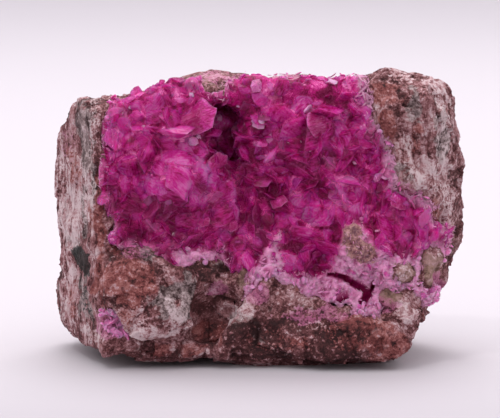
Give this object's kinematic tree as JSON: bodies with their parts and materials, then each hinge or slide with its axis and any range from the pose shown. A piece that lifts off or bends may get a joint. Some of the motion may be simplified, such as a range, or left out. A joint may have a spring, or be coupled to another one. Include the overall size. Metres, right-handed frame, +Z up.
{
  "type": "cobaltoan calcite specimen",
  "caption": "Mineral specimen: a broken block of host rock that stands on a flat foot, with a druse of flattened pink calcite crystals on its front.",
  "frame": {"origin": "middle of the bounding box in x and y, on the plane that the specimen stands on", "axes": "+X to the right seen from the druse's side, +Y from the druse towards the back, +Z up"},
  "size_m": [0.0753, 0.0408, 0.0529],
  "materials": {
    "host_rock": "rough, broken, granular",
    "calcite_druse": "vitreous crystal faces, slightly translucent",
    "calcite_patch": "vitreous to sugary, pale"
  },
  "bodies": {
    "root": {"host_rock": "host_rock", "calcite_druse": "calcite_druse", "calcite_patch": "calcite_patch"}
  },
  "joints": []
}
